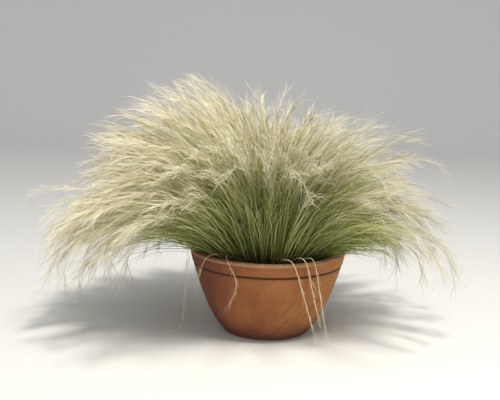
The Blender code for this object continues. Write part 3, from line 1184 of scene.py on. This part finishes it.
def ripple(turns: np.ndarray, radii: np.ndarray, waves: int, seed: int) -> np.ndarray:
    """Smooth unevenness over a disc, from -1 to 1.

    Args:
        turns: Angles in radians.
        radii: Radii in metres, the same shape.
        waves: How many waves are added up.
        seed: The seed of their directions.

    Returns:
        One height for each place.
    """
    rng = np.random.default_rng(seed)
    x, y = radii * np.cos(turns), radii * np.sin(turns)
    total = np.zeros_like(x)
    for _ in range(waves):
        size = rng.uniform(*RIPPLE_SIZES)
        way = rng.uniform(0.0, FULL_TURN)
        wave = np.sin(size * (x * math.cos(way) + y * math.sin(way)) + rng.uniform(0.0, 6.28))
        total += wave * RIPPLE_SIZES[0] / size
    return total / np.abs(total).max()


@dataclass
class Crown:
    """The mat of old shoot bases: a low mound with short dry stubs standing all over it.

    Attributes:
        growth: The law of growth.
        soil_top: The soil's height.
        radius: The mound's radius.
        rise: How far the mound stands above the soil.
        gap: How far its edge is above the soil.
        relief: How uneven its top is.
    """

    growth: Growth
    soil_top: float
    radius: float = 0.145
    rise: float = 0.032
    rings: int = 16
    steps: int = 72
    gap: float = 0.0005
    relief: float = 0.004
    stubs: int = 3000
    stub_points: int = 5
    stub_length: tuple[float, float] = (0.03, 0.10)
    seed: int = 31

    def mound(self) -> Patch:
        """The mound itself."""
        steps = self.steps
        share = np.linspace(0.0, 1.0, self.rings)
        radii = np.concatenate([share * self.radius, [self.radius * 0.9, 0.0]])
        fall = self.soil_top + self.rise * np.sqrt(np.clip(1.0 - share**2, 0.0, 1.0)) + self.gap
        heights = np.concatenate([fall, [self.soil_top + self.gap] * 2])
        turns = FULL_TURN * np.arange(steps) / steps
        grid = (len(radii), steps)
        bumps = ripple(np.broadcast_to(turns, grid), np.broadcast_to(radii[:, None], grid), 24, self.seed)
        lift = self.relief * bumps * np.concatenate([1.0 - share**4, [0.0, 0.0]])[:, None]
        vertices, triangles = polar_sheet(radii, heights[:, None] + np.clip(lift, -0.003, self.relief), steps)
        away = np.hypot(vertices[:, 0], vertices[:, 1]) / self.radius
        turn = np.arctan2(vertices[:, 1], vertices[:, 0]) / FULL_TURN + 0.5
        places = np.stack([0.02 + 0.25 * away, 0.1 + 0.8 * np.abs(2 * turn - 1)], axis=1)
        return Patch(vertices, triangles, places)

    def stubble(self) -> Strands:
        """The short dry stubs."""
        rng = np.random.default_rng(self.seed)
        turn = rng.uniform(0.0, 360.0, self.stubs)
        place = np.degrees(np.arccos(1.0 - 0.62 * rng.uniform(0.0, 1.0, self.stubs)))
        length = rng.uniform(*self.stub_length, self.stubs)
        lean = place + rng.normal(0.0, 9.0, self.stubs)
        sway = rng.normal(0.0, 30.0, self.stubs)
        nod = rng.normal(0.0, 25.0, self.stubs)
        lines = self.growth.lines(turn, place, lean, lean + 10.0, length, sway, nod, self.stub_points)
        share = np.linspace(0.0, 1.0, self.stub_points)
        radii = taper(share, ((0.0, 0.0009), (1.0, 0.0004)))[None, :]
        radii = radii * rng.uniform(0.7, 1.3, self.stubs)[:, None]
        along = np.broadcast_to(np.linspace(0.1, 1.0, self.stub_points), radii.shape)
        return Strands(lines, radii, along, rng.uniform(0.05, 0.95, self.stubs))

    def build(self, finish: bpy.types.Material) -> None:
        """Builds the piece that stands for the frame's crown."""
        piece = new_piece("thatch_mound", [self.mound(), self.stubble()], finish)
        settle(piece, "crown", "thatch")


@dataclass(frozen=True)
class BowlShape:
    """The bowl's profile, as the solid has it."""

    height: float
    rim_radius: float
    lip_thickness: float = 0.024
    lip_rounding: float = 0.006
    band_height: float = 0.0355
    band_lower_radius: float = 0.2235
    band_arris: float = 0.0015
    groove_width: float = 0.0060
    groove_depth: float = 0.0055
    groove_runout: float = 0.0050
    body_top_radius: float = 0.2192
    body_foot_radius: float = 0.109
    body_swell: float = 0.53
    foot_rounding: float = 0.010
    foot_inset: float = 0.0085
    bottom_crowding: float = 1.5
    wall: float = 0.015
    floor: float = 0.018
    floor_fillet: float = 0.012
    lip_steps: int = 6
    body_steps: int = 30
    wall_steps: int = 9

    @property
    def body_top(self) -> float:
        """The height at which the body meets the groove."""
        return self.height - self.band_height - self.groove_width - self.groove_runout

    @property
    def groove_middle(self) -> float:
        """The height of the groove's middle."""
        return self.height - self.band_height - self.groove_width / 2

    def body_radius(self, height: float) -> float:
        """The outer radius below the band."""
        share = height / self.body_top
        return self.body_foot_radius + (self.body_top_radius - self.body_foot_radius) * share**self.body_swell

    def arc(self, centre: tuple[float, float], first: float, last: float) -> list[tuple[float, float]]:
        """Points of the lip's rounding, angles in degrees."""
        turns = [math.radians(turn) for turn in np.linspace(first, last, self.lip_steps + 1)]
        across, up = centre
        rounding = self.lip_rounding
        return [(across + rounding * math.cos(turn), up + rounding * math.sin(turn)) for turn in turns]

    def inner_wall(self) -> list[tuple[float, float]]:
        """(radius, height) points up the inner wall."""
        steps = self.wall_steps
        low = self.floor + self.floor_fillet
        rise = self.body_top - low
        heights = [low + rise * (i / steps) ** self.bottom_crowding for i in range(steps + 1)]
        corner = [(self.body_radius(self.floor) - self.wall - self.floor_fillet, self.floor)]
        return corner + [(self.body_radius(z) - self.wall, z) for z in heights]

    def profile(self) -> list[tuple[float, float]]:
        """The whole profile, from the middle of the floor inside to the middle of the foot."""
        lip_z = self.height - self.lip_rounding
        lip_inner = self.rim_radius - self.lip_thickness
        inner_lip = self.arc((lip_inner + self.lip_rounding, lip_z), 180, 90)
        outer_lip = self.arc((self.rim_radius - self.lip_rounding, lip_z), 90, 0)
        band_z = self.height - self.band_height
        flare = self.band_lower_radius - self.rim_radius
        band = [
            (self.rim_radius + flare * share, lip_z + (band_z + self.band_arris - lip_z) * share)
            for share in (0.25, 0.5, 0.75, 1.0)
        ]
        inset = self.band_lower_radius - self.groove_depth
        groove = [
            (self.band_lower_radius - 0.3 * self.band_arris, band_z + 0.4 * self.band_arris),
            (self.band_lower_radius - self.band_arris, band_z),
            (inset + 0.0006, band_z - 0.0006),
            (inset, band_z - 0.0014),
            (inset, band_z - self.groove_width),
            (inset + 0.0006, band_z - self.groove_width - 0.0015),
        ]
        drop = self.body_top - self.foot_rounding
        shares = [1 - step / self.body_steps for step in range(self.body_steps + 1)]
        heights = [self.foot_rounding + drop * share**self.bottom_crowding for share in shares]
        body = [(self.body_radius(z), z) for z in heights]
        edge = self.body_radius(self.foot_rounding)
        inward = ((0.12, 0.60), (0.35, 0.28), (0.71, 0.06), (1.0, 0.0))
        foot = [(edge - self.foot_inset * a, self.foot_rounding * b) for a, b in inward]
        inside = [(0.0, self.floor), (0.05, self.floor), *self.inner_wall()]
        return inside + inner_lip + outer_lip + band + groove + body + foot + [(0.06, 0.0), (0.0, 0.0)]


@dataclass
class Bowl:
    """The terracotta bowl, hand-finished: its wall wavers a little and its wheel marks show.

    Attributes:
        shape: Its profile.
        steps: How many steps its turning has.
        crease: The angle past which its edges stay sharp.
        waver: How far its wall wavers.
        mark_depth: How deep its wheel marks are.
        mark_pitch: How far apart they are.
        drains: How many drain holes its foot has.
        drain_radius: Their radius.
        drain_ring: How far their middles are from the axis.
    """

    shape: BowlShape
    steps: int = 160
    crease: float = 50.0
    waver: float = 0.0005
    mark_depth: float = 0.00025
    mark_pitch: float = 0.013
    drains: int = 3
    drain_radius: float = 0.008
    drain_ring: float = 0.055

    def pierce(self, bowl: bpy.types.Object) -> None:
        """Cuts the drain holes through the foot."""
        cutters = []
        across = self.drain_ring
        for index in range(self.drains):
            turn = math.radians(90.0 + 360.0 / self.drains * index)
            bpy.ops.mesh.primitive_cylinder_add(
                vertices=32,
                radius=self.drain_radius,
                depth=3 * self.shape.floor,
                location=(across * math.cos(turn), across * math.sin(turn), self.shape.floor / 2),
            )
            cutters.append(bpy.context.object)
            drain = bowl.modifiers.new(f"drain_{index + 1}", "BOOLEAN")
            drain.operation = "DIFFERENCE"
            drain.solver = "EXACT"
            drain.object = cutters[-1]
        graph = bpy.context.evaluated_depsgraph_get()
        pierced = bpy.data.meshes.new_from_object(bowl.evaluated_get(graph))
        bowl.modifiers.clear()
        bowl.data = pierced
        for cutter in cutters:
            bpy.data.objects.remove(cutter)

    def build(self, finish: bpy.types.Material) -> None:
        """Builds the piece that stands for the frame's bowl."""
        profile = np.array(self.shape.profile())
        turns = FULL_TURN * np.arange(self.steps) / self.steps
        wave = np.sin(2 * turns + 0.7) * 0.6 + np.sin(5 * turns + 2.1) * 0.3 + np.sin(11 * turns) * 0.12
        outside = (profile[:, 1] > 0.004)[:, None] & (profile[:, 0] > 0.0)[:, None]
        marks = self.mark_depth * np.sin(profile[:, 1] * FULL_TURN / self.mark_pitch)[:, None]
        radii = profile[:, :1] + np.where(outside, self.waver * (wave[None, :] - 1.0) + marks, 0.0)
        vertices, triangles = polar_sheet(radii, profile[:, 1], self.steps)
        piece = solid_piece("terracotta_pot", vertices, triangles, finish, self.crease)
        self.pierce(piece)
        settle(piece, "terracotta_bowl", "terracotta")


@dataclass
class Soil:
    """The potting soil: an uneven top with crumbs on it, and plain sides inside the bowl.

    Attributes:
        shape: The bowl's profile.
        top: The height of the solid's top.
        crease: The angle past which its edges stay sharp.
        relief: How uneven its top is.
        flat_radius: The radius outside which the top sinks towards the wall.
        sink: How far it sinks there.
        side_gap: How far its sides keep from the bowl.
        floor_gap: How far it is above the bowl's floor.
        crumb_sink: How far below the solid's top the crumbs' middles are.
        crumb_ring: The ring they lie in: its inner radius, and its width.
    """

    shape: BowlShape
    top: float
    steps: int = 120
    crease: float = 40.0
    top_rings: int = 30
    relief: float = 0.0030
    flat_radius: float = 0.150
    sink: float = 0.0040
    side_gap: float = 0.0008
    floor_gap: float = 0.0005
    crumbs: int = 1500
    crumb_radius: tuple[float, float] = (0.0010, 0.0034)
    crumb_sink: float = 0.004
    crumb_ring: tuple[float, float] = (0.09, 0.105)
    seed: int = 41

    def lump(self) -> tuple[np.ndarray, np.ndarray]:
        """The soil's body."""
        edge = self.shape.rim_radius - self.shape.lip_thickness - 0.004
        radii = np.linspace(0.0, edge, self.top_rings)
        sink = self.sink * np.clip((radii - self.flat_radius) / (edge - self.flat_radius), 0.0, 1.0)
        turns = FULL_TURN * np.arange(self.steps) / self.steps
        grid = (len(radii), self.steps)
        bumps = ripple(np.broadcast_to(turns, grid), np.broadcast_to(radii[:, None], grid), 60, self.seed)
        tops = self.top - self.relief - sink[:, None] + self.relief * bumps
        points = [(radius - self.side_gap, z + self.floor_gap) for radius, z in self.shape.inner_wall()]
        wall = np.array(points[::-1])
        wall = wall[wall[:, 1] < self.top - 0.015]
        all_radii = np.concatenate([radii, wall[:, 0], [0.0]])
        low = np.repeat(wall[:, 1][:, None], self.steps, axis=1)
        floor = np.full((1, self.steps), self.shape.floor + self.floor_gap)
        return polar_sheet(all_radii, np.concatenate([tops, low, floor]), self.steps)

    def crumb_set(self) -> tuple[np.ndarray, np.ndarray]:
        """Loose crumbs: little lumps of eight faces, each squashed its own way."""
        rng = np.random.default_rng(self.seed)
        corners = np.array([(1, 0, 0), (-1, 0, 0), (0, 1, 0), (0, -1, 0), (0, 0, 1), (0, 0, -1)], float)
        above = [(0, 2, 4), (2, 1, 4), (1, 3, 4), (3, 0, 4)]
        below = [(2, 0, 5), (1, 2, 5), (3, 1, 5), (0, 3, 5)]
        faces = np.array(above + below)
        away = self.crumb_ring[0] + self.crumb_ring[1] * np.sqrt(rng.uniform(0.0, 1.0, self.crumbs))
        turn = rng.uniform(0.0, FULL_TURN, self.crumbs)
        size = rng.uniform(*self.crumb_radius, self.crumbs)
        height = np.full(self.crumbs, self.top - self.crumb_sink)
        centre = np.stack([away * np.cos(turn), away * np.sin(turn), height], axis=1)
        shape = corners[None] * rng.uniform(0.6, 1.2, (self.crumbs, 6, 1)) * size[:, None, None]
        vertices = (centre[:, None] + shape).reshape(-1, 3)
        triangles = (faces[None] + 6 * np.arange(self.crumbs)[:, None, None]).reshape(-1, 3)
        return vertices, triangles

    def build(self, finish: bpy.types.Material) -> None:
        """Builds the piece that stands for the frame's soil."""
        vertices, triangles = self.lump()
        crumbs, crumb_faces = self.crumb_set()
        all_triangles = np.concatenate([triangles, crumb_faces + len(vertices)])
        all_vertices = np.concatenate([vertices, crumbs])
        piece = solid_piece("soil_surface", all_vertices, all_triangles, finish, self.crease)
        settle(piece, "potting_soil", "soil")


@dataclass
class TrailingStems:
    """The single stems that hang over the rim, on the routes of the frame's own tubes.

    Attributes:
        growth: The law of growth.
        routes: (distance from the axis, turn in degrees, height) points by name.
        slender: How thick the stems away from the right side are, as a share of the others.
    """

    growth: Growth
    points: int = 28
    solid_radius: float = 0.0020
    gap: float = 0.0004
    start_lean: float = 63.0
    outline: Outline = ((0.0, 0.0015), (0.7, 0.0013), (1.0, 0.0005))
    slender: float = 0.52
    awns: int = 34
    awn_start: float = 0.55
    awn_length: tuple[float, float] = (0.018, 0.045)
    awn_radius: float = 0.00035
    seed: int = 53
    routes: dict[str, Route] = field(
        default_factory=lambda: {
            "right_1": [
                (0.205, 281.0, 0.257), (0.237, 286.0, 0.250),
                (0.242, 293.0, 0.165), (0.240, 303.5, 0.034),
            ],
            "right_2": [
                (0.205, 292.0, 0.260), (0.237, 295.0, 0.252),
                (0.241, 300.5, 0.165), (0.236, 309.5, 0.052),
            ],
            "right_3": [
                (0.205, 300.0, 0.257), (0.237, 301.5, 0.250),
                (0.247, 305.5, 0.155), (0.252, 311.5, 0.034),
            ],
            "left_1": [
                (0.205, 228.0, 0.258), (0.237, 223.0, 0.249),
                (0.246, 218.0, 0.198), (0.244, 215.5, 0.142),
            ],
            "left_2": [
                (0.205, 236.0, 0.259), (0.236, 241.0, 0.250),
                (0.241, 248.5, 0.194), (0.239, 245.0, 0.140),
            ],
            "left_3": [
                (0.205, 204.0, 0.258), (0.237, 201.5, 0.249),
                (0.246, 198.5, 0.170), (0.249, 196.0, 0.062),
            ],
            "side_1": [
                (0.205, 193.0, 0.258), (0.237, 193.0, 0.249), (0.246, 192.0, 0.155),
                (0.252, 190.0, 0.025), (0.270, 188.0, 0.0024), (0.307, 185.0, 0.0024),
            ],
            "back_1": [
                (0.205, 77.0, 0.258), (0.237, 73.0, 0.249), (0.246, 68.0, 0.155),
                (0.252, 64.0, 0.025), (0.270, 62.0, 0.0024), (0.307, 60.0, 0.0024),
            ],
        }
    )

    def smooth(self, route: Route) -> np.ndarray:
        """Evenly numbered points on a smooth curve through the route's own points."""
        ends = np.array([route[0], *route, route[-1]])
        at = np.linspace(0.0, len(route) - 1, self.points)
        low = np.minimum(at.astype(int), len(route) - 2)
        t = (at - low)[:, None]
        a, b, c, d = (ends[low + k] for k in range(4))
        return 0.5 * (
            2 * b + (c - a) * t + (2 * a - 5 * b + 4 * c - d) * t**2 + (3 * b - a - 3 * c + d) * t**3
        )

    def line(self, route: Route) -> np.ndarray:
        """A stem's points in space, from the crown to its tip."""
        lean = math.radians(self.start_lean)
        reach = self.growth.crown_radius + self.solid_radius
        start = (reach * math.sin(lean), route[0][1], self.growth.centre_height + reach * math.cos(lean))
        places = self.smooth([start, *route])
        turn = np.radians(places[:, 1])
        height = np.maximum(places[:, 2], self.solid_radius + self.gap)
        return np.stack([places[:, 0] * np.cos(turn), places[:, 0] * np.sin(turn), height], axis=1)

    def grow_awns(self, rng: np.random.Generator, line: np.ndarray, thickness: float) -> Strands:
        """The last awns that still hang on a stem's end, held away from the bowl.

        Args:
            rng: The source of the plant's irregularities.
            line: The stem's points.
            thickness: How thick they are, as a share of the usual.

        Returns:
            The awns.
        """
        at = rng.integers(int(self.awn_start * self.points), self.points - 1, self.awns)
        base = line[at]
        ahead = line[at + 1] - base
        ahead /= np.linalg.norm(ahead, axis=1, keepdims=True)
        away = base * (1.0, 1.0, 0.0)
        away /= np.linalg.norm(away, axis=1, keepdims=True)
        side = rng.normal(0.0, 0.22, (self.awns, 3)) * (1.0, 1.0, 0.4)
        length = rng.uniform(*self.awn_length, self.awns)[:, None]
        first = base + (ahead + 0.16 * away + side) * length * 0.5
        last = first + (ahead + 0.10 * away + side * 0.4 - (0.0, 0.0, 0.1)) * length * 0.5
        lines = np.stack([base, first, last], axis=1)
        lines[:, :, 2] = np.maximum(lines[:, :, 2], 0.0012)
        radii = np.full((self.awns, 3), thickness * self.awn_radius)
        along = np.broadcast_to((0.7, 0.85, 1.0), radii.shape)
        return Strands(lines, radii, along, rng.uniform(0.1, 0.9, self.awns))

    def build(self, finish: bpy.types.Material) -> None:
        """Builds one piece for each trailing stem of the frame."""
        rng = np.random.default_rng(self.seed)
        share = np.linspace(0.0, 1.0, self.points)
        for name, route in self.routes.items():
            line = self.line(route)[None]
            thickness = 1.0 if name.startswith("right") else self.slender
            radii = thickness * taper(share, self.outline)[None]
            stem = Strands(line, radii, share[None].copy(), rng.uniform(0.2, 0.8, 1))
            piece = new_piece(f"stalk_{name}", [stem, self.grow_awns(rng, line[0], thickness)], finish)
            settle(piece, f"trailing_stem_{name}", "stem_straw")


# ---------------------------------------------------------------------------------------------
# Studio


@dataclass
class Studio:
    """A plain pale floor, soft light and the camera."""

    camera_place: tuple[float, float, float] = (-0.0664, -2.547, 0.8117)
    camera_tilt: float = 80.55
    camera_roll: float = -1.37
    lens: float = 63.1
    floor_size: float = 16.0
    sweep_start: float = 5.0
    sweep_radius: float = 3.0
    floor_colour: Colour = srgb(206, 205, 202)
    sky_colour: Colour = srgb(236, 238, 242)
    sky_strength: float = 0.74
    aim_height: float = 0.35

    def floor(self) -> None:
        """Adds the floor, which sweeps up into a backdrop behind the plant."""
        steps = 16
        turns = [math.pi / 2 * i / steps for i in range(steps + 1)]
        bend = [
            (self.sweep_start + self.sweep_radius * math.sin(turn), self.sweep_radius * (1 - math.cos(turn)))
            for turn in turns
        ]
        line = [(-self.floor_size, 0.0), *bend, (self.sweep_start + self.sweep_radius, self.floor_size)]
        ends = (-self.floor_size, self.floor_size)
        vertices = [(x, y, z) for y, z in line for x in ends]
        faces = [(2 * i, 2 * i + 1, 2 * i + 3, 2 * i + 2) for i in range(len(line) - 1)]
        mesh = bpy.data.meshes.new("floor")
        mesh.from_pydata(vertices, [], faces)
        mesh.shade_smooth()
        sheet = bpy.data.objects.new("floor", mesh)
        bpy.context.scene.collection.objects.link(sheet)
        nodes = new_nodes("floor_matt")
        nodes.shader.inputs["Base Color"].default_value = (*self.floor_colour, 1.0)
        nodes.shader.inputs["Roughness"].default_value = 0.9
        mesh.materials.append(nodes.material)
        sheet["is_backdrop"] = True

    def light(self, name: str, place: Place, size: float, power: float, tint: Colour) -> None:
        """Adds a soft square light that faces the plant.

        Args:
            name: The light's name.
            place: Where it stands.
            size: The length of its side.
            power: Its power in watts.
            tint: Its colour.
        """
        lamp = bpy.data.lights.new(name, "AREA")
        lamp.size = size
        lamp.energy = power
        lamp.color = tint
        holder = bpy.data.objects.new(name, lamp)
        holder.location = place
        aim = np.array([0.0, 0.0, self.aim_height]) - np.array(place)
        flat = math.hypot(aim[0], aim[1])
        holder.rotation_euler = (math.atan2(flat, -aim[2]), 0.0, math.atan2(aim[1], aim[0]) - math.pi / 2)
        bpy.context.scene.collection.objects.link(holder)

    def sky(self) -> None:
        """Adds an even pale sky."""
        world = bpy.data.worlds.new("pale_sky")
        world.use_nodes = True
        background = world.node_tree.nodes["Background"]
        background.inputs["Color"].default_value = (*self.sky_colour, 1.0)
        background.inputs["Strength"].default_value = self.sky_strength
        bpy.context.scene.world = world

    def camera(self) -> None:
        """Adds the camera."""
        lens = bpy.data.cameras.new("camera")
        lens.lens = self.lens
        lens.sensor_width = 36.0
        holder = bpy.data.objects.new("camera", lens)
        holder.location = self.camera_place
        holder.rotation_euler = (math.radians(self.camera_tilt), math.radians(self.camera_roll), 0.0)
        bpy.context.scene.collection.objects.link(holder)
        bpy.context.scene.camera = holder

    def build(self) -> None:
        """Builds the whole studio."""
        self.floor()
        self.sky()
        self.light("key", (0.70, -1.5, 4.0), 0.5, 225.0, (1.0, 0.965, 0.895))
        self.light("fill", (-2.6, -1.8, 1.6), 2.2, 4.0, (0.92, 0.96, 1.0))
        self.camera()
        bpy.context.scene.view_settings.view_transform = "Standard"
        log.info("studio: floor, sky, two lights and the camera")


def write_sizes(before: object, after: object) -> None:
    """Gathers the solids' box and the visual model's box as plain lists of numbers, but writes them nowhere.

    Args:
        before: The box from straight after the frame was loaded.
        after: The box with every piece in place.
    """
    boxes = {
        "cad": [[float(v) for v in corner] for corner in before],
        "visual": [[float(v) for v in corner] for corner in after],
    }


MARGIN = np.array([0.042, 0.040, 0.022])
"""How far the growth may pass the solids' box at each side."""

LEAST_HEIGHT = 0.003
"""How far above the ground the growth stays."""

CROWN_GAP = 0.0004
"""How far the growth's start is above the solid crown."""


def main() -> None:
    """Builds every piece over the frame, in order."""
    logging.basicConfig(level=logging.INFO, format="%(message)s")
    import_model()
    solid_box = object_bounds()
    low, high = (np.array(corner) for corner in solid_box)
    bowl_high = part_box("terracotta_bowl")[1]
    shape = BowlShape(height=bowl_high.z, rim_radius=bowl_high.x)
    lip_middle = shape.rim_radius - shape.lip_thickness / 2
    room = Room(np.array([*(low - MARGIN)[:2], LEAST_HEIGHT]), high + MARGIN, shape.height, lip_middle)
    growth = Growth(centre_height=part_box("crown")[1].z + CROWN_GAP - Growth.crown_radius)
    soil_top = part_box("potting_soil")[1].z

    Bowl(shape).build(TerracottaFinish(shape.height, shape.groove_middle).build())
    Soil(shape, soil_top).build(SoilFinish().build())
    Crown(growth, soil_top).build(THATCH_FINISH.build())
    LeafTufts(growth, room).build(LEAF_FINISH.build())
    Plumes(growth, room).build(PLUME_FINISH.build())
    TrailingStems(growth).build(STEM_FINISH.build())
    Studio().build()
    write_sizes(solid_box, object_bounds())


if __name__ == "__main__":
    main()
